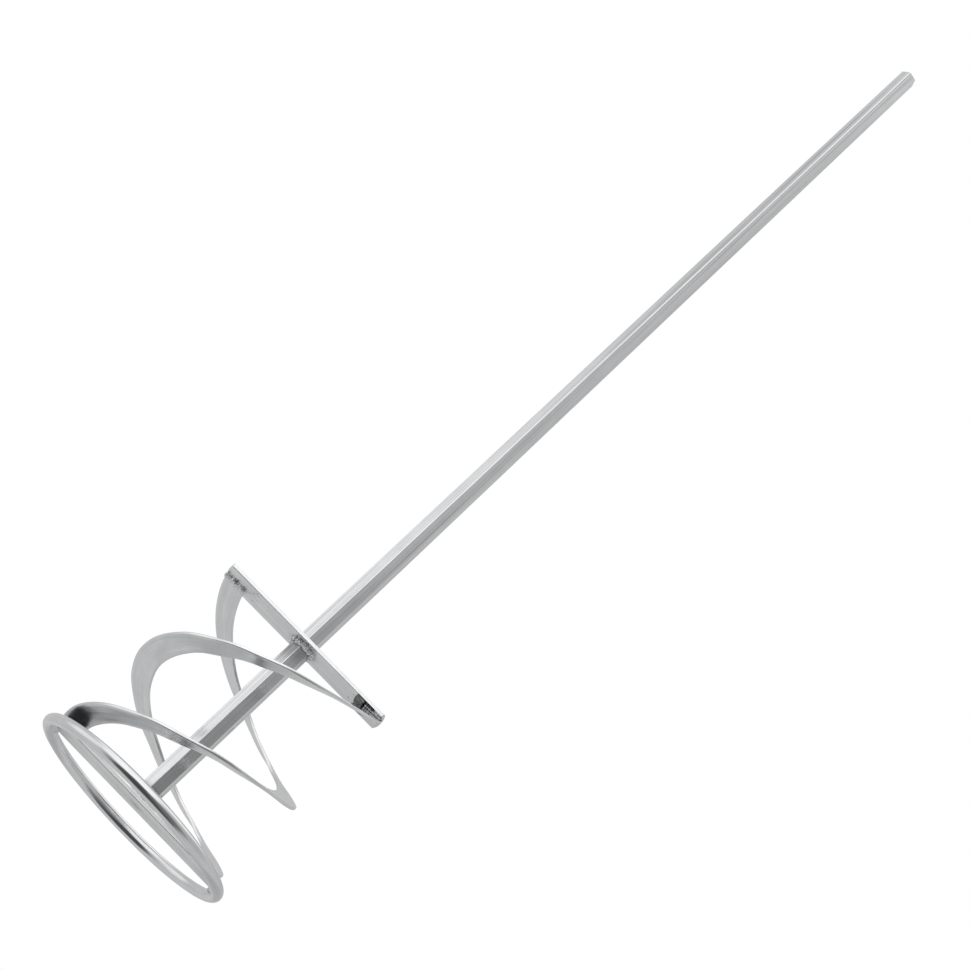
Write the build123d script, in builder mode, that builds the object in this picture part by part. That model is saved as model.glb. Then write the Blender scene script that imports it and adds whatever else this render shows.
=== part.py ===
"""Mortar mixing paddle: a hexagonal drill shaft with two helical blades between a crossbar and a ring.

The paddle is a weldment in zinc-plated steel. The Z axis is the axis that it spins about. Z = 0 is
the plane that the ring rests on, and the shaft runs up from there. X runs along both flat bars.
"""
import os
from math import cos, radians, sin, sqrt

from build123d import *

# ---- Driving dimensions (mm) ------------------------------------------------------------------
overall_height = 650.0          # from the ring's lowest plane to the shaft's free end
ring_outer_diameter = 110.0
rod_diameter = 5.5              # the round rod that the ring is bent from

shaft_across_flats = 10.0       # hexagonal bar, held by a drill's chuck
shaft_arris_radius = 0.6        # drawn bar has slightly rounded arrises
shaft_end_chamfer = 0.4
shaft_turn = 18.0               # degrees from the X axis to the shaft's first arris

head_radius = 50.4              # both flat bars end in this arc, and the blades' outer edges follow it
bar_width = 22.0
bar_thickness = 2.0
bar_corner_radius = 1.0
bar_edge_radius = 0.3
crossbar_height = 108.0         # underside of the crossbar above Z = 0
crossbar_hole_diameter = 12.0   # clears the shaft's arrises

blade_width = 12.0              # flat strip, standing out from the axis like an auger's flight
blade_thickness = 1.6           # measured along the axis
blade_turn = 360.0              # degrees from foot to head, right-handed
blade_lead_angle = -7.5         # where each foot starts, in degrees from its end of the bars
blade_droop = 0.25              # how far the blade sags below an even helix, as a share
blade_settle = 0.11             # how far that sag moves up towards the head, as a share
blade_overrun = 0.04            # share of the turn lofted past each end, then cut off square
blade_sections = 28

fillet_leg = 4.0                # weld round the shaft
foot_bead_radius = 2.0          # weld at each blade's foot
head_bead_radius = 1.8          # weld at each blade's head
ring_bead_radius = 1.7          # weld under the bottom bar's end, along the inside of the ring
ring_bead_half_angle = 11.0     # degrees of the ring, each side of the bar's middle

# ---- Worked out from them ---------------------------------------------------------------------
rod_radius = rod_diameter / 2
ring_radius = ring_outer_diameter / 2 - rod_radius      # to the middle of the rod
# The bottom bar drops into the ring until its ends rest on the rod, above the rod's middle.
bottom_bar_rise = sqrt(rod_radius ** 2 - (ring_radius - head_radius) ** 2)
bar_underside = rod_radius + bottom_bar_rise
bar_top = bar_underside + bar_thickness
crossbar_top = crossbar_height + bar_thickness
blade_middle_radius = head_radius - blade_width / 2
blade_rise = crossbar_height - blade_thickness - bar_top
shaft_arris_reach = shaft_across_flats / 2 / cos(radians(30))
weld_root = shaft_across_flats / 2 - 1.0                # weld profiles start inside the shaft

os.makedirs("parts", exist_ok=True)


def save(piece, name):
    """Label a finished piece and write its STEP file."""
    piece.part.label = name
    export_step(piece.part, f"parts/{name}.step")


# ---- Shaft: hexagonal bar, standing on the bottom bar -----------------------------------------
with BuildPart() as shaft:
    with BuildSketch(Plane.XY.offset(bar_top)):
        RegularPolygon(shaft_across_flats / 2, 6, major_radius=False, rotation=shaft_turn)
    extrude(amount=overall_height - bar_top)
    fillet(shaft.edges().filter_by(Axis.Z), shaft_arris_radius)
    chamfer(shaft.faces().sort_by(Axis.Z)[-1].edges(), shaft_end_chamfer)
save(shaft, "shaft")

# ---- Ring: round rod bent into a closed hoop --------------------------------------------------
with BuildPart() as ring:
    with BuildSketch(Plane.XZ):
        with Locations((ring_radius, rod_radius)):
            Circle(rod_radius)
    revolve(axis=Axis.Z)
save(ring, "ring")

# ---- Bottom bar and crossbar: two equal flat bars, their ends cut to an arc about the shaft -----
flat_bars = {}
for name, underside in (("bottom_bar", bar_underside), ("top_crossbar", crossbar_height)):
    with BuildPart() as flat_bar:
        with BuildSketch(Plane.XY.offset(underside)) as outline:
            Circle(head_radius)
            Rectangle(2 * head_radius, bar_width, mode=Mode.INTERSECT)
            fillet(outline.vertices(), bar_corner_radius)
        extrude(amount=bar_thickness)
        fillet(flat_bar.faces().filter_by(Axis.Z).edges(), bar_edge_radius)
        if name == "top_crossbar":
            with Locations((0, 0, crossbar_height)):
                Hole(crossbar_hole_diameter / 2)
    save(flat_bar, name)
    flat_bars[name] = flat_bar


# ---- Blades: flat strip wound one turn, half a turn apart --------------------------------------
def strip_middle_height(share):
    """Height of the strip's middle at a share of the turn: it sags a little below an even helix."""
    sag = share * (1 - share) * (blade_droop - blade_settle * (1 - 2 * share))
    climbed = share - sag
    return bar_top + blade_thickness / 2 + blade_rise * climbed


def strip_section_plane(share, start_angle):
    """The upright plane through the axis that holds the strip's section at a share of the turn."""
    angle = radians(start_angle + blade_lead_angle + blade_turn * share)
    outward = Vector(cos(angle), sin(angle), 0)
    along = Vector(-sin(angle), cos(angle), 0)
    middle = outward * blade_middle_radius + Vector(0, 0, strip_middle_height(share))
    return Plane(origin=middle, x_dir=outward, z_dir=along)


blades = {}
for name, start_angle in (("blade_a", 180), ("blade_b", 0)):
    with BuildPart() as blade:
        for step in range(blade_sections + 1):
            share = -blade_overrun + (1 + 2 * blade_overrun) * step / blade_sections
            with BuildSketch(strip_section_plane(share, start_angle)):
                Rectangle(blade_width, blade_thickness)
        loft()
        split(bisect_by=Plane.XY.offset(bar_top), keep=Keep.TOP)
        split(bisect_by=Plane.XY.offset(crossbar_height), keep=Keep.BOTTOM)
    save(blade, name)
    blades[name] = blade

# ---- Weld round the shaft, under the crossbar and filling its hole ----------------------------
with BuildPart() as crossbar_shaft_weld:
    with BuildSketch(Plane.XZ):
        with BuildLine():
            toe = (crossbar_hole_diameter / 2 + fillet_leg - 1, crossbar_height)
            foot = (shaft_arris_reach + 0.5, crossbar_height - fillet_leg)
            Polyline(foot, (weld_root, crossbar_height - fillet_leg), (weld_root, crossbar_top),
                     (crossbar_hole_diameter / 2, crossbar_top),
                     (crossbar_hole_diameter / 2, crossbar_height), toe)
            RadiusArc(toe, foot, 2 * fillet_leg)
        make_face()
    revolve(axis=Axis.Z)
    add(shaft.part, mode=Mode.SUBTRACT)
save(crossbar_shaft_weld, "crossbar_shaft_weld")

# ---- Weld round the shaft's foot, on the bottom bar -------------------------------------------
with BuildPart() as bottom_shaft_weld:
    with BuildSketch(Plane.XZ):
        with BuildLine():
            toe = (shaft_arris_reach + fillet_leg, bar_top)
            top = (shaft_arris_reach + 0.5, bar_top + fillet_leg)
            Polyline(toe, (weld_root, bar_top), (weld_root, bar_top + fillet_leg), top)
            RadiusArc(top, toe, 2 * fillet_leg)
        make_face()
    revolve(axis=Axis.Z)
    add(shaft.part, mode=Mode.SUBTRACT)
save(bottom_shaft_weld, "bottom_shaft_weld")

# ---- Welds at the bottom bar's ends, along the inside of the ring -----------------------------
for name, end_angle in (("bar_ring_weld_a", 180), ("bar_ring_weld_b", 0)):
    with BuildPart() as bead:
        with BuildSketch(Plane.XZ.rotated((0, 0, end_angle - ring_bead_half_angle))):
            with Locations((head_radius - ring_bead_radius / 2, bar_underside - ring_bead_radius / 2)):
                Circle(ring_bead_radius)
        revolve(axis=Axis.Z, revolution_arc=2 * ring_bead_half_angle)
        add(ring.part, mode=Mode.SUBTRACT)
        add(flat_bars["bottom_bar"].part, mode=Mode.SUBTRACT)
    save(bead, name)


# ---- Welds across the blades' feet and heads --------------------------------------------------
def bead_plane(share, start_angle, height):
    """A plane at the blade's inner edge that faces outwards, for a bead drawn across the strip."""
    angle = radians(start_angle + blade_lead_angle + blade_turn * share)
    outward = Vector(cos(angle), sin(angle), 0)
    inner_edge = outward * (head_radius - blade_width) + Vector(0, 0, height)
    return Plane(origin=inner_edge, x_dir=Vector(0, 0, 1), z_dir=outward)


foot_slope = 1 - blade_droop + blade_settle     # climb of the strip's ends, against an even helix
head_slope = 1 + blade_droop + blade_settle
heel_share = -blade_thickness / blade_rise / foot_slope      # where the foot's upper face starts
tip_share = 1 + blade_thickness / blade_rise / head_slope    # where the head's lower face ends

for end, start_angle in (("a", 180), ("b", 0)):
    blade = blades[f"blade_{end}"]
    with BuildPart() as foot_bead:
        with BuildSketch(bead_plane(heel_share, start_angle, bar_top)):
            Circle(foot_bead_radius)
        extrude(amount=blade_width)
        add(blade.part, mode=Mode.SUBTRACT)
        split(bisect_by=Plane.XY.offset(bar_top), keep=Keep.TOP)
    save(foot_bead, f"blade_foot_weld_{end}")

    with BuildPart() as head_bead:
        with BuildSketch(bead_plane(tip_share, start_angle, crossbar_height)):
            Circle(head_bead_radius)
        extrude(amount=blade_width)
        add(blade.part, mode=Mode.SUBTRACT)
        split(bisect_by=Plane.XY.offset(crossbar_height), keep=Keep.BOTTOM)
    save(head_bead, f"blade_head_weld_{end}")
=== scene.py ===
"""Looks for the mortar mixing paddle: zinc-plated steel in a bright, plain studio.

The shaft and the two flat bars are the CAD's own nodes with better materials. The ring and the blades are
remade as dense meshes with rounded edges and a hand-bent look, and the welds as lumpy beads with spatter.
"""
import math
import random

import bmesh
import bpy
from mathutils import Matrix, Vector, noise


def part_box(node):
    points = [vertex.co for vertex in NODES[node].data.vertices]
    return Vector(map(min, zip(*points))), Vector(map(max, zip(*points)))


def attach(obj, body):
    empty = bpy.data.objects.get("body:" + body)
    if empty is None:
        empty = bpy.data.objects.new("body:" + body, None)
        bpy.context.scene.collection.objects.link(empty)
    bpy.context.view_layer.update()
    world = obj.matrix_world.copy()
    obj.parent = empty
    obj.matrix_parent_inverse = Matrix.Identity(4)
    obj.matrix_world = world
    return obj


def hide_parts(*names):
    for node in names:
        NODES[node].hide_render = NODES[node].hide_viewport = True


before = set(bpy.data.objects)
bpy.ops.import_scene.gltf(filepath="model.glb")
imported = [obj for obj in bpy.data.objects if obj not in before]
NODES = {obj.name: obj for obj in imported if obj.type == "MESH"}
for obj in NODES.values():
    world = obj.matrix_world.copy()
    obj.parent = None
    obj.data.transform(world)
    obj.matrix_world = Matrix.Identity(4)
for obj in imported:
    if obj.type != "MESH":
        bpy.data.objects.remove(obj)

MM = 0.001
TAU = 2 * math.pi
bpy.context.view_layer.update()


# ---- Sizes in millimetres, read from the frame --------------------------------------------------
def box_mm(node):
    """The low and high corners of a CAD node's box, in millimetres."""
    low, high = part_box(node)
    return low / MM, high / MM


ring_low, ring_high = box_mm("ring")
bar_low, bar_high = box_mm("bottom_bar")
cross_low, cross_high = box_mm("top_crossbar")
blade_low, blade_high = box_mm("blade_a")

rod_radius = (ring_high.z - ring_low.z) / 2
ring_radius = (ring_high.x - ring_low.x) / 2 - rod_radius
bar_underside = bar_low.z
bar_top = bar_high.z
cross_underside = cross_low.z
cross_top = cross_high.z
half_cross = cross_high.x

# The blades follow the law that shaped the CAD's strips.
BLADE_WIDTH = 12.0
BLADE_THICKNESS = 1.6
BLADE_LEAD = math.radians(-7.5)
BLADE_DROOP = 0.25
BLADE_SETTLE = 0.11
BLADE_OVERRUN = 0.04
blade_outer_radius = (blade_high.x - blade_low.x) / 2
blade_inner_radius = blade_outer_radius - BLADE_WIDTH
blade_middle_radius = blade_outer_radius - BLADE_WIDTH / 2
blade_rise = cross_underside - BLADE_THICKNESS - bar_top
foot_slope = 1 - BLADE_DROOP + BLADE_SETTLE
head_slope = 1 + BLADE_DROOP + BLADE_SETTLE
heel_share = -BLADE_THICKNESS / blade_rise / foot_slope
tip_share = 1 + BLADE_THICKNESS / blade_rise / head_slope


# ---- Meshes ---------------------------------------------------------------------------------------
def to_object(name, mesh_data, slot_name, *replaced):
    """Turns a mesh in millimetres into a smooth piece of the paddle that stands for CAD nodes."""
    mesh = bpy.data.meshes.new(name)
    mesh_data.normal_update()
    mesh_data.to_mesh(mesh)
    mesh_data.free()
    mesh.transform(Matrix.Scale(MM, 4))
    for polygon in mesh.polygons:
        polygon.use_smooth = True
    piece = bpy.data.objects.new(name, mesh)
    bpy.context.scene.collection.objects.link(piece)
    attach(piece, "root")
    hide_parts(*replaced)
    return piece


def skin(rows, closed):
    """A mesh over rows of points, each row a loop. A closed skin joins its last row to its first."""
    mesh_data = bmesh.new()
    loops = [[mesh_data.verts.new(point) for point in row] for row in rows]
    count = len(rows[0])
    pairs = list(zip(loops, loops[1:]))
    if closed:
        pairs.append((loops[-1], loops[0]))
    for here, there in pairs:
        for k in range(count):
            mesh_data.faces.new((here[k], here[(k + 1) % count], there[(k + 1) % count], there[k]))
    if not closed:
        mesh_data.faces.new(list(reversed(loops[0])))
        mesh_data.faces.new(loops[-1])
    bmesh.ops.recalc_face_normals(mesh_data, faces=mesh_data.faces[:])
    return mesh_data


WANDER_PACE = 1.3               # how fast a bend's wander changes round the turn
WANDER_GAIN = 1.6               # brings the noise up to about its full size


def bend_wander(angle, seed, size):
    """A slow, seamless wander round a turn, between minus and plus a size, as bending by hand leaves."""
    place = Vector((math.cos(angle) * WANDER_PACE, math.sin(angle) * WANDER_PACE, seed))
    return size * max(-1.0, min(1.0, WANDER_GAIN * noise.noise(place)))


RING_STEPS = 420
RING_SIDES = 40
RING_INSET = 0.12               # keeps the wandering hoop inside the true one
RING_OUT_OF_ROUND = 0.10
RING_OUT_OF_PLANE = 0.045
ROD_INSET = 0.06
ROD_DENT = 0.03
DENT_PACE_ALONG = 9             # how fast the dents change along the hoop and round the rod
DENT_PACE_ROUND = 1.2
RING_SEEDS = (3.1, 8.4, 5)      # for the wander out of round, out of plane and for the dents


def make_ring():
    """The round rod, bent into a hoop that is a little out of round and faintly dented."""
    round_seed, plane_seed, dent_seed = RING_SEEDS
    rows = []
    for step in range(RING_STEPS):
        angle = TAU * step / RING_STEPS
        middle = ring_radius - RING_INSET + bend_wander(angle, round_seed, RING_OUT_OF_ROUND)
        height = rod_radius + bend_wander(angle, plane_seed, RING_OUT_OF_PLANE)
        row = []
        for side in range(RING_SIDES):
            turn = TAU * side / RING_SIDES
            place = Vector((angle * DENT_PACE_ALONG, math.cos(turn) * DENT_PACE_ROUND,
                            math.sin(turn) * DENT_PACE_ROUND + dent_seed))
            radius = rod_radius - ROD_INSET + ROD_DENT * noise.noise(place)
            reach = middle + radius * math.cos(turn)
            row.append((reach * math.cos(angle), reach * math.sin(angle), height + radius * math.sin(turn)))
        rows.append(row)
    return skin(rows, closed=True)


def strip_angle(share, start):
    """The direction from the axis in which a blade's section lies, at a share of its turn."""
    return start + BLADE_LEAD + TAU * share


def strip_height(share):
    """Height of the strip's middle at a share of the turn: it sags a little below an even helix."""
    sag = share * (1 - share) * (BLADE_DROOP - BLADE_SETTLE * (1 - 2 * share))
    return bar_top + BLADE_THICKNESS / 2 + blade_rise * (share - sag)


def rounded_section(width, thickness, radius, corner_steps, flat_steps):
    """Points round a flat strip's section, width first, with rounded corners and divided flats."""
    points = []
    for corner, (side, level) in enumerate(((1, 1), (-1, 1), (-1, -1), (1, -1))):
        for step in range(corner_steps + 1):
            turn = math.pi / 2 * (corner + step / corner_steps)
            points.append((side * (width / 2 - radius) + radius * math.cos(turn),
                           level * (thickness / 2 - radius) + radius * math.sin(turn)))
        if corner in (0, 2):
            for step in range(1, flat_steps):
                slide = 1 - 2 * step / flat_steps
                points.append((side * slide * (width / 2 - radius), level * thickness / 2))
    return points


STRIP_STATIONS = 340
STRIP_EDGE_RADIUS = 0.4
STRIP_INSET = 0.22              # keeps the wandering strip inside the CAD's reach
STRIP_WANDER_OUT = 0.20
STRIP_WANDER_UP = 0.45
STRIP_CANT = 1.6                # degrees
OUT_PACE = 1.5                  # how fast each wander changes along the turn
UP_PACE = 2.2
CANT_PACE = 1.7
TUCK_LENGTH = 0.12              # share of the turn over which a tucked foot eases back out


def make_blade(start, seed, tuck):
    """A flat strip wound one turn, cut level at the bottom bar's top and the crossbar's underside.

    Its foot may be tucked in a little towards the shaft, as hand fitting leaves it.
    """
    section = rounded_section(BLADE_WIDTH, BLADE_THICKNESS, STRIP_EDGE_RADIUS, corner_steps=4, flat_steps=8)
    rows = []
    for station in range(STRIP_STATIONS + 1):
        share = -BLADE_OVERRUN + (1 + 2 * BLADE_OVERRUN) * station / STRIP_STATIONS
        angle = strip_angle(share, start)
        inside = max(0.0, min(1.0, share))
        freedom = math.sin(math.pi * inside) ** 0.5         # none at the welded ends
        wander = bend_wander(TAU * share * OUT_PACE, seed, STRIP_WANDER_OUT)
        shift = -STRIP_INSET * freedom + wander * freedom
        shift -= tuck * max(0.0, 1 - inside / TUCK_LENGTH) ** 2
        lift = bend_wander(TAU * share * UP_PACE, seed + 4, STRIP_WANDER_UP) * freedom
        cant = math.radians(bend_wander(TAU * share * CANT_PACE, seed + 9, STRIP_CANT)) * freedom
        row = []
        for across, level in section:
            out = blade_middle_radius + shift + across * math.cos(cant) - level * math.sin(cant)
            height = strip_height(share) + lift + across * math.sin(cant) + level * math.cos(cant)
            row.append((out * math.cos(angle), out * math.sin(angle), height))
        rows.append(row)
    mesh_data = skin(rows, closed=False)
    for level, outward in ((bar_top, -1), (cross_underside, 1)):
        everything = mesh_data.verts[:] + mesh_data.edges[:] + mesh_data.faces[:]
        cut = bmesh.ops.bisect_plane(mesh_data, geom=everything, plane_co=(0, 0, level),
                                     plane_no=(0, 0, outward), clear_outer=True)
        rim = [item for item in cut["geom_cut"] if isinstance(item, bmesh.types.BMEdge)]
        bmesh.ops.holes_fill(mesh_data, edges=rim, sides=0)
    bmesh.ops.recalc_face_normals(mesh_data, faces=mesh_data.faces[:])
    return mesh_data


# ---- Weld metal -----------------------------------------------------------------------------------
VOXEL = 0.17                    # grid on which a bead's puddles are fused
LUMP_PACE = 0.55                # how fast lumps, grain and pits change per millimetre
GRAIN_PACE = 1.4
GRAIN_SHARE = 0.25              # size of the grain against the lumps
PIT_PACE = 0.9
PIT_THRESHOLD = 0.28            # noise above this is a pit
PUDDLE_LENGTH = 0.62            # of a puddle along its run, as a share of the bead's radius
PUDDLE_SWELL = (-0.16, 0.14)    # least and most change of size from puddle to puddle
RADIAL_STEPS = 6
ROUNDING = 1e-9                 # lets the last puddle fall on the path's end
DROP_SIZE = (0.22, 0.62)        # radii of the drops
DROP_SHRINK = (0.6, 1.0)
DROP_STRETCH = (0.9, 1.3)
DROP_FLATNESS = (0.6, 0.9)
DROP_LUMP = 0.15


def add_blob(mesh_data, centre, radii, along):
    """An ellipsoid of weld metal: radii along the run, across it and in height."""
    direction = Vector(along).normalized()
    turn = direction.to_track_quat("X", "Z").to_matrix().to_4x4()
    place = Matrix.Translation(Vector(centre)) @ turn @ Matrix.Diagonal((*radii, 1.0))
    bmesh.ops.create_icosphere(mesh_data, subdivisions=2, radius=1.0, matrix=place)


def melt(mesh_data, softness, lump_seed, lump_size, pit_size):
    """Fuses overlapping blobs into one skin, softens it, then roughens it with lumps and pits."""
    source = bpy.data.meshes.new("melt")
    mesh_data.to_mesh(source)
    mesh_data.free()
    holder = bpy.data.objects.new("melt", source)
    bpy.context.scene.collection.objects.link(holder)
    remesh = holder.modifiers.new("fuse", "REMESH")
    remesh.mode = "VOXEL"
    remesh.voxel_size = VOXEL
    soften = holder.modifiers.new("soften", "SMOOTH")
    soften.iterations = softness
    soften.factor = 0.5
    graph = bpy.context.evaluated_depsgraph_get()
    fused = bpy.data.meshes.new_from_object(holder.evaluated_get(graph))
    bpy.data.objects.remove(holder)
    bpy.data.meshes.remove(source)
    result = bmesh.new()
    result.from_mesh(fused)
    bpy.data.meshes.remove(fused)
    result.normal_update()
    offset = Vector((lump_seed, 0, 0))
    moves = []
    for vertex in result.verts:
        lump = noise.noise(vertex.co * LUMP_PACE + offset)
        grain = noise.noise(vertex.co * GRAIN_PACE + offset)
        pit = max(0.0, noise.noise(vertex.co * PIT_PACE - offset) - PIT_THRESHOLD)
        moves.append(vertex.normal * (lump * lump_size + grain * lump_size * GRAIN_SHARE - pit * pit_size))
    for vertex, move in zip(result.verts, moves):
        vertex.co += move
    return result


def bead_run(points, radius, seed, rise=1.0, jitter=0.18, spacing=0.42):
    """A weld run: overlapping puddles laid one after another along a path, each a little different."""
    draw = random.Random(seed)
    mesh_data = bmesh.new()
    lengths = [(b - a).length for a, b in zip(points, points[1:])]
    total = sum(lengths)
    count = max(3, round(total / (radius * spacing)))
    for k in range(count + 1):
        target = total * k / count
        run = 0.0
        for a, b, length in zip(points, points[1:], lengths):
            if target <= run + length + ROUNDING:
                break
            run += length
        along = (b - a).normalized()
        centre = a + along * (target - run)
        shake = Vector([draw.uniform(-1, 1) for _ in range(3)]) * radius * jitter
        swell = 1 + draw.uniform(*PUDDLE_SWELL)
        add_blob(mesh_data, centre + shake,
                 (radius * PUDDLE_LENGTH * swell, radius * swell, radius * rise * swell), along)
    return mesh_data


def join(target, extra):
    """Adds one mesh to another."""
    carrier = bpy.data.meshes.new("carrier")
    extra.to_mesh(carrier)
    extra.free()
    target.from_mesh(carrier)
    bpy.data.meshes.remove(carrier)


def spatter(target, draw, count, place_on):
    """Small drops of metal thrown out by welding, sitting on a surface."""
    for _ in range(count):
        centre = place_on(draw)
        size = draw.uniform(*DROP_SIZE) * draw.uniform(*DROP_SHRINK)
        drop = bmesh.new()
        radii = (size * draw.uniform(*DROP_STRETCH), size, size * draw.uniform(*DROP_FLATNESS))
        add_blob(drop, centre, radii, (draw.uniform(-1, 1), draw.uniform(-1, 1), 0.01))
        for vertex in drop.verts:
            vertex.co += Vector((1, 1, 1)) * noise.noise(vertex.co * 3) * size * DROP_LUMP
        join(target, drop)


def circle_path(radius, height, start=0.0, sweep=TAU, steps=48):
    """Points round an arc about the Z axis."""
    return [Vector((radius * math.cos(start + sweep * k / steps),
                    radius * math.sin(start + sweep * k / steps), height)) for k in range(steps + 1)]


def radial_path(angle, inner, outer, height):
    """Points on a level line straight out from the Z axis."""
    outward = Vector((math.cos(angle), math.sin(angle), 0))
    return [outward * (inner + (outer - inner) * k / RADIAL_STEPS) + Vector((0, 0, height))
            for k in range(RADIAL_STEPS + 1)]


# ---- The pieces -----------------------------------------------------------------------------------
# The two ends were welded by hand, so they differ: blade B's foot is tucked in and its bead is shorter,
# more drops lie round its head, and its weld inside the ring is smooth.
ENDS = (
    dict(name="a", start=math.pi, bend_seed=2.3, tuck=0.0,
         foot_seed=11, foot_inset=0.3, foot_stop=1.4, head_seed=21, drops_seed=31, drops=5,
         corner_seed=41, corner_lump=0.14, corner_pit=1.3),
    dict(name="b", start=0.0, bend_seed=7.9, tuck=3.4,
         foot_seed=12, foot_inset=1.8, foot_stop=4.2, head_seed=22, drops_seed=32, drops=12,
         corner_seed=42, corner_lump=0.05, corner_pit=0.4),
)
FOOT_BEAD_RADIUS = 1.9
HEAD_BEAD_RADIUS = 1.8
WEDGE_BEAD_RADIUS = 0.8         # a thin run in the wedge between blade B's head and the crossbar
WEDGE_SHARE = 0.993
WEDGE_SEED = 23
CORNER_BEAD_RADIUS = 1.35       # under each end of the bottom bar, inside the ring
CORNER_HALF_ANGLE = math.radians(10.5)
CORNER_STEPS = 12
COLLAR_RADIUS = 6.0             # round the shaft, under the crossbar
COLLAR_BEAD_RADIUS = 1.55
COLLAR_SEED = 51
HOLE_FILL_RADIUS = 5.6          # in the crossbar's hole
HOLE_FILL_BEAD_RADIUS = 1.05
HOLE_FILL_STEPS = 36
HOLE_FILL_SEED = 52
FOOT_COLLAR_RADIUS = 6.2        # round the shaft's foot
FOOT_COLLAR_BEAD_RADIUS = 1.9
FOOT_COLLAR_SEED = 61
DROPS_FROM = 31                 # the drops round a head: nearest to the shaft, furthest, and to each side
DROPS_TO = 44
DROPS_ASIDE = 8.5


def foot_bead(end):
    """The bead across a blade's foot, on the bottom bar."""
    path = radial_path(strip_angle(heel_share, end["start"]), blade_inner_radius - end["foot_inset"],
                       blade_outer_radius - end["foot_stop"], bar_top + 0.3)
    run = bead_run(path, FOOT_BEAD_RADIUS, end["foot_seed"], rise=0.8)
    return melt(run, softness=4, lump_seed=3.0, lump_size=0.12, pit_size=0.9)


def head_bead(end):
    """The bead across a blade's head, under the crossbar, with the drops that lie round it."""
    path = radial_path(strip_angle(tip_share, end["start"]), blade_inner_radius - 0.3,
                       blade_outer_radius - 1.0, cross_underside - 0.4)
    run = bead_run(path, HEAD_BEAD_RADIUS, end["head_seed"], rise=0.85)
    if end["name"] == "b":
        wedge = radial_path(strip_angle(WEDGE_SHARE, end["start"]), blade_inner_radius + 1.5,
                            blade_outer_radius - 0.8, cross_underside - 0.3)
        join(run, bead_run(wedge, WEDGE_BEAD_RADIUS, WEDGE_SEED, rise=0.9))
    head = melt(run, softness=4, lump_seed=5.0, lump_size=0.15, pit_size=1.2)
    side = 1 if end["name"] == "b" else -1

    def near_head(draw):
        return Vector((side * draw.uniform(DROPS_FROM, DROPS_TO), draw.uniform(-DROPS_ASIDE, DROPS_ASIDE),
                       cross_underside - 0.05))

    spatter(head, random.Random(end["drops_seed"]), end["drops"], near_head)
    return head


def corner_bead(end):
    """The bead under an end of the bottom bar, along the inside of the ring."""
    path = circle_path(ring_radius - rod_radius + 0.1, bar_underside - 0.7,
                       end["start"] - CORNER_HALF_ANGLE, 2 * CORNER_HALF_ANGLE, CORNER_STEPS)
    run = bead_run(path, CORNER_BEAD_RADIUS, end["corner_seed"], jitter=0.2)
    return melt(run, softness=3, lump_seed=7.0, lump_size=end["corner_lump"], pit_size=end["corner_pit"])


def crossbar_collar():
    """The bead round the shaft under the crossbar, with a small one that fills the hole above it."""
    run = bead_run(circle_path(COLLAR_RADIUS, cross_underside - 0.5), COLLAR_BEAD_RADIUS, COLLAR_SEED,
                   rise=1.1, jitter=0.3, spacing=0.55)
    filling = circle_path(HOLE_FILL_RADIUS, cross_top - 0.9, steps=HOLE_FILL_STEPS)
    join(run, bead_run(filling, HOLE_FILL_BEAD_RADIUS, HOLE_FILL_SEED, jitter=0.12, spacing=0.8))
    return melt(run, softness=3, lump_seed=9.0, lump_size=0.2, pit_size=1.4)


def foot_collar():
    """The bead round the shaft's foot, on the bottom bar."""
    run = bead_run(circle_path(FOOT_COLLAR_RADIUS, bar_top + 0.9), FOOT_COLLAR_BEAD_RADIUS,
                   FOOT_COLLAR_SEED, rise=1.1, jitter=0.25, spacing=0.5)
    return melt(run, softness=3, lump_seed=13.0, lump_size=0.22, pit_size=1.6)


ring = to_object("ring_rod", make_ring(), "plated_steel", "ring")
blades = []
weld_pieces = []
for end in ENDS:
    name = end["name"]
    strip = make_blade(end["start"], end["bend_seed"], end["tuck"])
    blades.append(to_object(f"strip_{name}", strip, "plated_steel", f"blade_{name}"))
    for bead_name, make_bead, node_name in (("foot_bead", foot_bead, "blade_foot_weld"),
                                            ("head_bead", head_bead, "blade_head_weld"),
                                            ("ring_bead", corner_bead, "bar_ring_weld")):
        weld_pieces.append(to_object(f"{bead_name}_{name}", make_bead(end), "weld_bead",
                                     f"{node_name}_{name}"))
weld_pieces.append(to_object("crossbar_bead", crossbar_collar(), "weld_bead", "crossbar_shaft_weld"))
weld_pieces.append(to_object("shaft_foot_bead", foot_collar(), "weld_bead", "bottom_shaft_weld"))


# ---- Shader nodes ---------------------------------------------------------------------------------
def new_material(name):
    """An empty node material with its output and a Principled shader."""
    material = bpy.data.materials.new(name)
    material.use_nodes = True
    tree = material.node_tree
    tree.nodes.clear()
    output = tree.nodes.new("ShaderNodeOutputMaterial")
    shader = tree.nodes.new("ShaderNodeBsdfPrincipled")
    tree.links.new(shader.outputs["BSDF"], output.inputs["Surface"])
    return material, tree, shader


def add_node(tree, kind, **settings):
    """A new node in a tree, with its settings."""
    node = tree.nodes.new(kind)
    for key, value in settings.items():
        setattr(node, key, value)
    return node


def feed(tree, socket, value):
    """Links a socket to another node's output, or sets it to a plain value."""
    if isinstance(value, bpy.types.NodeSocket):
        tree.links.new(value, socket)
    else:
        socket.default_value = value


def maths(tree, operation, a, b):
    """The result of a sum on two numbers or sockets."""
    node = add_node(tree, "ShaderNodeMath", operation=operation)
    feed(tree, node.inputs[0], a)
    feed(tree, node.inputs[1], b)
    return node.outputs["Value"]


def vector_maths(tree, operation, a, b=(0.0, 0.0, 0.0), output="Vector"):
    """The result of a sum on vectors or sockets."""
    node = add_node(tree, "ShaderNodeVectorMath", operation=operation)
    feed(tree, node.inputs[0], a)
    feed(tree, node.inputs[1], b)
    return node.outputs[output]


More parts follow.
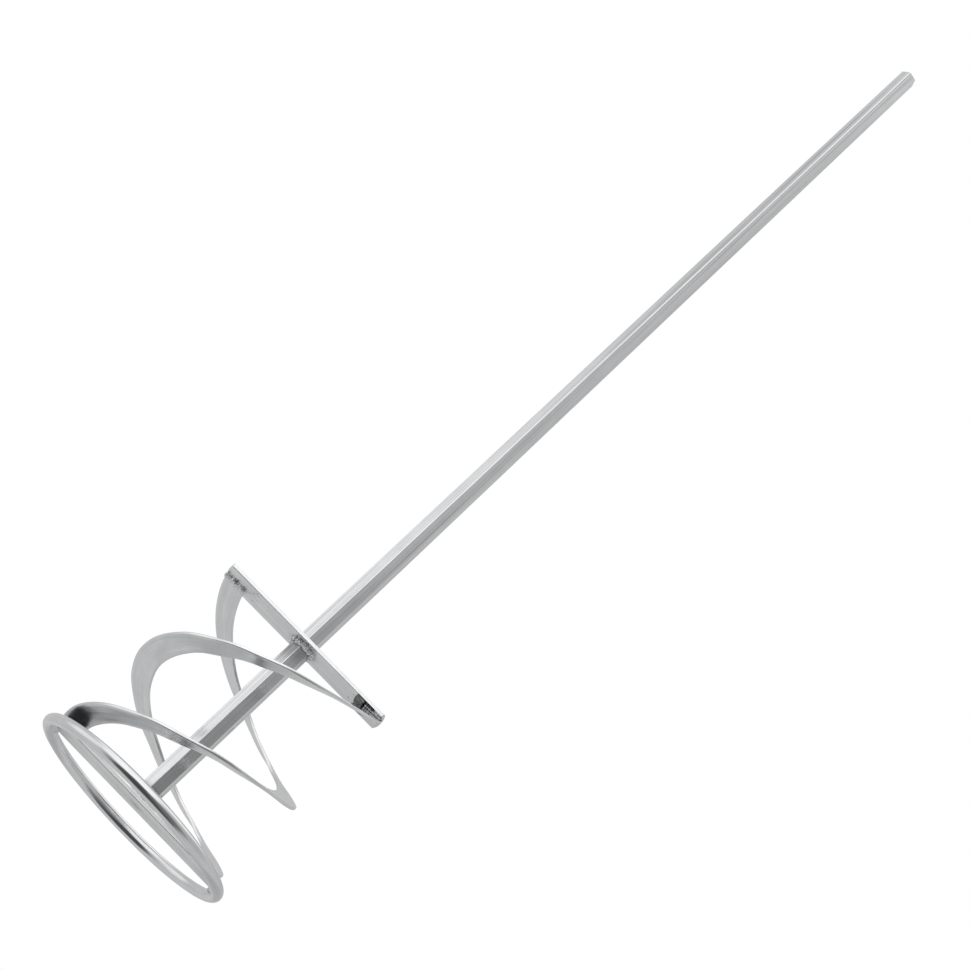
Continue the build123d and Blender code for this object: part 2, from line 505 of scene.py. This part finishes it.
def weighted_sum(tree, *terms):
    """Adds up pairs of a socket and its weight."""
    total = None
    for value, weight in reversed(terms):
        part = maths(tree, "MULTIPLY", value, weight)
        total = part if total is None else maths(tree, "ADD", part, total)
    return total


def split_axes(tree, vector):
    """A vector's parts, found by X, Y or Z."""
    parts = add_node(tree, "ShaderNodeSeparateXYZ")
    tree.links.new(vector, parts.inputs[0])
    return parts.outputs


def noise_at(tree, vector, scale, detail, roughness=0.5):
    """Plain noise between 0 and 1, mostly close to a half."""
    node = add_node(tree, "ShaderNodeTexNoise")
    node.inputs["Scale"].default_value = scale
    node.inputs["Detail"].default_value = detail
    node.inputs["Roughness"].default_value = roughness
    tree.links.new(vector, node.inputs["Vector"])
    return node.outputs["Fac"]


def remap(tree, value, source, target=(0.0, 1.0), smooth=False):
    """Carries a value from one range to another and holds it at the ends."""
    node = add_node(tree, "ShaderNodeMapRange", clamp=True)
    if smooth:
        node.interpolation_type = "SMOOTHSTEP"
    node.inputs["From Min"].default_value = source[0]
    node.inputs["From Max"].default_value = source[1]
    node.inputs["To Min"].default_value = target[0]
    node.inputs["To Max"].default_value = target[1]
    tree.links.new(value, node.inputs["Value"])
    return node.outputs["Result"]


def mix_colour(tree, factor, a, b):
    """Colour a where the factor is 0, b where it is 1."""
    node = add_node(tree, "ShaderNodeMix", data_type="RGBA", blend_type="MIX")
    feed(tree, node.inputs["Factor"], factor)
    feed(tree, node.inputs[6], a)
    feed(tree, node.inputs[7], b)
    return node.outputs[2]


def mix_number(tree, factor, a, b):
    """Number a where the factor is 0, b where it is 1."""
    node = add_node(tree, "ShaderNodeMix", data_type="FLOAT")
    feed(tree, node.inputs["Factor"], factor)
    feed(tree, node.inputs[2], a)
    feed(tree, node.inputs[3], b)
    return node.outputs[0]


def bump_from(tree, height, distance, strength=1.0, under=None):
    """A bump from a height, its distance in millimetres, over another bump if there is one."""
    bump = add_node(tree, "ShaderNodeBump")
    bump.inputs["Strength"].default_value = strength
    bump.inputs["Distance"].default_value = distance * MM
    tree.links.new(height, bump.inputs["Height"])
    if under is not None:
        tree.links.new(under, bump.inputs["Normal"])
    return bump.outputs["Normal"]


# ---- Materials ------------------------------------------------------------------------------------
BENT = "bent"
ACROSS_BEND = 1500.0            # marks per metre across a bent piece, in reach and in height
UP_BEND = 60.0
ALONG_BEND = 14.0               # slow change along it
SPECK_COLOUR = (0.25, 0.25, 0.26, 1)
STREAK_COLOUR = (0.28, 0.28, 0.29, 1)
STREAK_OFFSET = (37.0, 11.0, 5.0)       # so that the streaks don't lie where the fine lines do
# Colour of the darker patches at the welds and of the painted reflection on the crossbar, and how much
# rougher they are.
DARK_PATCH_AND_REFLECTION_COLOUR = (0.05, 0.05, 0.055, 1)
DARK_PATCH_AND_REFLECTION_DULLING = 0.12
DULL_PLATE = (0.86, 0.875, 0.89)        # tints of the plate's tone
BRIGHT_PLATE = (1.02, 1.03, 1.035)
WAVE_DEPTH = 0.10               # millimetres
SLAG_COLOUR = (0.20, 0.20, 0.20, 1)
BEAD_COLOUR = (0.86, 0.87, 0.88, 1)
ROUND = (1.0, 1.0, 1.0)
PAINTED_REFLECTION_BAND = (1.0, 0.35, 0.0)         # distance counts less across a bar, so the painted reflection is a band over its width


def tinted(tone, tint):
    """A colour from a tone and its shares of red, green and blue."""
    return (*(tone * share for share in tint), 1)


def grain_coordinates(tree, grain):
    """Coordinates in which plain noise becomes marks drawn out along the metal.

    A straight piece is stretched along its axis. A bent piece uses the distance from the Z axis and
    the height across the rod or strip, so its marks follow the bend without a seam.
    """
    position = add_node(tree, "ShaderNodeTexCoord").outputs["Object"]
    if grain != BENT:
        return vector_maths(tree, "MULTIPLY", position, grain), position
    flat = vector_maths(tree, "MULTIPLY", position, (1.0, 1.0, 0.0))
    reach = vector_maths(tree, "LENGTH", flat, output="Value")
    height = split_axes(tree, position)["Z"]
    across = add_node(tree, "ShaderNodeCombineXYZ")
    tree.links.new(maths(tree, "MULTIPLY", reach, ACROSS_BEND), across.inputs["X"])
    tree.links.new(maths(tree, "MULTIPLY", height, UP_BEND), across.inputs["Z"])
    slow = vector_maths(tree, "MULTIPLY", position, (ALONG_BEND, ALONG_BEND, ALONG_BEND))
    return vector_maths(tree, "ADD", across.outputs["Vector"], slow), position


def dark_patch_and_reflection_mask(tree, position, centre, shape, inner, outer, ceiling):
    """Full inside an inner distance of a point, gone at an outer one and above a ceiling (mm)."""
    away = vector_maths(tree, "SUBTRACT", position, tuple(c * MM for c in centre))
    gap = vector_maths(tree, "LENGTH", vector_maths(tree, "MULTIPLY", away, shape), output="Value")
    patch = remap(tree, gap, (outer * MM, inner * MM), smooth=True)
    height = split_axes(tree, position)["Z"]
    below = remap(tree, height, (ceiling * MM, (ceiling - 0.15) * MM))
    return maths(tree, "MULTIPLY", patch, below)


def plated_steel(name, grain, tone=0.90, rough=(0.10, 0.26), line_depth=0.03, fineness=5.0, streaks=0.0,
                 dark_patches_and_reflection=()):
    """Bright zinc plate over drawn or rolled steel: marks along the metal, clouds and small specks."""
    material, tree, shader = new_material(name)
    stretched, position = grain_coordinates(tree, grain)
    lines = noise_at(tree, stretched, scale=1.0, detail=fineness, roughness=0.62)
    bands = noise_at(tree, stretched, scale=0.22, detail=2.0)
    clouds = noise_at(tree, position, scale=95.0, detail=3.0, roughness=0.6)
    specks = noise_at(tree, position, scale=2300.0, detail=2.0)
    mixed = weighted_sum(tree, (lines, 0.45), (bands, 0.3), (clouds, 0.25))
    colour = mix_colour(tree, remap(tree, mixed, (0.38, 0.62)),
                        tinted(tone, DULL_PLATE), tinted(tone, BRIGHT_PLATE))
    colour = mix_colour(tree, remap(tree, specks, (0.72, 0.82), (0.0, 0.35)), colour, SPECK_COLOUR)
    if streaks:
        drawn = noise_at(tree, vector_maths(tree, "ADD", stretched, STREAK_OFFSET),
                         scale=0.62, detail=3.0, roughness=0.6)
        colour = mix_colour(tree, remap(tree, drawn, (0.52, 0.66), (0.0, streaks)), colour, STREAK_COLOUR)
    roughness = remap(tree, mixed, (0.36, 0.64), (rough[1], rough[0]))
    # Darkens the listed patches: darker patches round the welds, and on the crossbar a painted reflection
    # of blade B's strip.
    for centre, shape, inner, outer, ceiling, depth in dark_patches_and_reflection:
        patch = dark_patch_and_reflection_mask(tree, position, centre, shape, inner, outer, ceiling)
        broken = remap(tree, noise_at(tree, position, scale=420.0, detail=4.0, roughness=0.65),
                       (0.30, 0.45), (0.55, 1.0))
        amount = maths(tree, "MULTIPLY", maths(tree, "MULTIPLY", patch, broken), depth)
        colour = mix_colour(tree, amount, colour, DARK_PATCH_AND_REFLECTION_COLOUR)
        roughness = maths(tree, "ADD", roughness, maths(tree, "MULTIPLY", amount, DARK_PATCH_AND_REFLECTION_DULLING))
    tree.links.new(colour, shader.inputs["Base Color"])
    tree.links.new(roughness, shader.inputs["Roughness"])
    shader.inputs["Metallic"].default_value = 1.0

    height = weighted_sum(tree, (lines, 0.6), (bands, 1.4), (specks, 0.05))
    marks = bump_from(tree, height, line_depth)
    waves = bump_from(tree, noise_at(tree, position, scale=55.0, detail=1.0), WAVE_DEPTH, under=marks)
    tree.links.new(waves, shader.inputs["Normal"])
    return material


def weld_metal(name):
    """Plated weld metal: glossy where it is clean, with dark pits and slag in patches set by noise."""
    material, tree, shader = new_material(name)
    position = add_node(tree, "ShaderNodeTexCoord").outputs["Object"]
    patches = noise_at(tree, position, scale=420.0, detail=2.0)
    pits = noise_at(tree, position, scale=1100.0, detail=1.0)
    slag = weighted_sum(tree, (patches, 0.7), (pits, 0.3))
    clean = remap(tree, slag, (0.28, 0.37), smooth=True)
    tree.links.new(mix_colour(tree, clean, SLAG_COLOUR, BEAD_COLOUR), shader.inputs["Base Color"])
    tree.links.new(remap(tree, clean, (0.0, 1.0), (0.55, 0.38)), shader.inputs["Roughness"])
    shader.inputs["Metallic"].default_value = 1.0
    tree.links.new(bump_from(tree, slag, 0.04, strength=0.3), shader.inputs["Normal"])
    return material


def cover(piece, material):
    """Gives a piece or a CAD node a material in place of what it had."""
    piece.data.materials.clear()
    piece.data.materials.append(material)


# Darker patches round the welds, and on the crossbar's underside a painted reflection of blade B's strip:
# centre, shape, inner and outer distance, ceiling and depth.
lip = cross_underside + 0.3
bar_lip = bar_underside + 0.3
# The shaft is darker just under the crossbar and at its foot, and the bottom bar is darker underneath round
# the shaft.
SHAFT_DARK_PATCHES = (((0, 0, cross_underside - 2), ROUND, 6, 12, cross_underside, 0.4),
                ((0, 0, bar_top + 1), ROUND, 6, 10, cross_underside, 0.6))
# The first crossbar entry is a painted reflection: a dark band on the crossbar's underside by blade B's
# head, where the strip mirrors in it.
CROSSBAR_DARK_PATCHES_AND_REFLECTION = (((half_cross - 11.6, -6, cross_underside), PAINTED_REFLECTION_BAND, 5.3, 5.9, lip, 1.0),
                   ((6 - half_cross, 3, cross_underside), ROUND, 2, 6, lip, 0.3),
                   ((0, 0, cross_underside), ROUND, 6, 11, lip, 0.3))
BOTTOM_DARK_PATCHES = (((0, 0, bar_underside), ROUND, 1, 6, bar_lip, 0.3),)
SHAFT_GRAIN = (1500.0, 1500.0, 7.0)     # marks per metre along X, Y and Z
BAR_GRAIN = (9.0, 1300.0, 1300.0)

shaft_material = plated_steel("plated_shaft", SHAFT_GRAIN, line_depth=0.085, streaks=0.45,
                              dark_patches_and_reflection=SHAFT_DARK_PATCHES)
crossbar_material = plated_steel("plated_crossbar", BAR_GRAIN, dark_patches_and_reflection=CROSSBAR_DARK_PATCHES_AND_REFLECTION)
bottom_material = plated_steel("plated_bottom_bar", BAR_GRAIN, rough=(0.16, 0.30), line_depth=0.02,
                               dark_patches_and_reflection=BOTTOM_DARK_PATCHES)
strip_material = plated_steel("plated_strip", BENT, line_depth=0.025)
rod_material = plated_steel("plated_rod", BENT, line_depth=0.012, rough=(0.12, 0.22), fineness=1.0)
weld_material = weld_metal("plated_weld")

cover(NODES["shaft"], shaft_material)
cover(NODES["top_crossbar"], crossbar_material)
cover(NODES["bottom_bar"], bottom_material)
cover(ring, rod_material)
for piece in blades:
    cover(piece, strip_material)
for piece in weld_pieces:
    cover(piece, weld_material)


# ---- Studio ---------------------------------------------------------------------------------------
def compass(azimuth, elevation):
    """A direction: azimuth in degrees from +Y towards +X, elevation in degrees above the floor."""
    turn = math.radians(azimuth)
    rise = math.radians(elevation)
    return Vector((math.sin(turn) * math.cos(rise), math.cos(turn) * math.cos(rise), math.sin(rise)))


FLOOR_COLOUR = (0.86, 0.86, 0.86, 1)
FLOOR_ROUGHNESS = 0.9
FLOOR_SIZE = 8                  # metres
FLOOR_DEPTH = 0.6               # metres below the paddle, out of the camera's sight

floor_material, _, floor_shader = new_material("pale_floor")
floor_shader.inputs["Base Color"].default_value = FLOOR_COLOUR
floor_shader.inputs["Roughness"].default_value = FLOOR_ROUGHNESS
bpy.ops.mesh.primitive_plane_add(size=FLOOR_SIZE, location=(0, 0, -FLOOR_DEPTH))
floor = bpy.context.active_object
floor.name = "floor"
floor.data.materials.append(floor_material)
floor.visible_glossy = False    # the metal mirrors the room below as well

# The room: soft light all round, and patches that are brighter or darker. Each row gives a patch's
# azimuth, elevation and brightness, and the degrees from its middle at which it is full and gone.
BASE_LIGHT = 0.57
BACKDROP = 1.0                  # what the camera itself sees behind the paddle
PATCHES = ((30, -20, 0.44, 18, 38),
           (28, 26, 0.50, 15, 32),
           (135, 25, 0.48, 25, 60),
           (-155, 36, 1.15, 22, 45),
           (-100, 8, 0.95, 10, 34),
           (0, 90, 1.05, 24, 46),
           (180, -35, 0.07, 30, 51),
           (150, -8, 0.17, 12, 34))

world = bpy.data.worlds.new("studio")
bpy.context.scene.world = world
world.use_nodes = True
sky = world.node_tree
direction = add_node(sky, "ShaderNodeTexCoord").outputs["Generated"]
light = BASE_LIGHT
for azimuth, elevation, brightness, full, gone in PATCHES:
    facing = vector_maths(sky, "DOT_PRODUCT", direction, compass(azimuth, elevation), output="Value")
    edges = (math.cos(math.radians(gone)), math.cos(math.radians(full)))
    light = mix_number(sky, remap(sky, facing, edges, smooth=True), light, brightness)
seen = add_node(sky, "ShaderNodeLightPath").outputs["Is Camera Ray"]
background = sky.nodes["Background"]
background.inputs["Color"].default_value = (1, 1, 1, 1)
sky.links.new(mix_number(sky, seen, light, BACKDROP), background.inputs["Strength"])


# ---- Camera ---------------------------------------------------------------------------------------
CAMERA_PLACE = Vector((46.34, -667.99, -105.55)) * MM
CAMERA_AZIMUTH = -3.702
CAMERA_RISE = 26.995
CAMERA_ROLL = math.radians(46.595)
CAMERA_LENS = 55.33
SENSOR_WIDTH = 36

level = compass(CAMERA_AZIMUTH, CAMERA_RISE).to_track_quat("-Z", "Y")
camera_data = bpy.data.cameras.new("camera")
camera_data.sensor_width = SENSOR_WIDTH
camera_data.lens = CAMERA_LENS
camera_data.clip_start = 0.01
camera_data.clip_end = 50
camera = bpy.data.objects.new("camera", camera_data)
bpy.context.scene.collection.objects.link(camera)
camera.location = CAMERA_PLACE
camera.rotation_mode = "QUATERNION"
camera.rotation_quaternion = level @ Matrix.Rotation(CAMERA_ROLL, 4, "Z").to_quaternion()
bpy.context.scene.camera = camera
bpy.context.scene.view_settings.view_transform = "Standard"
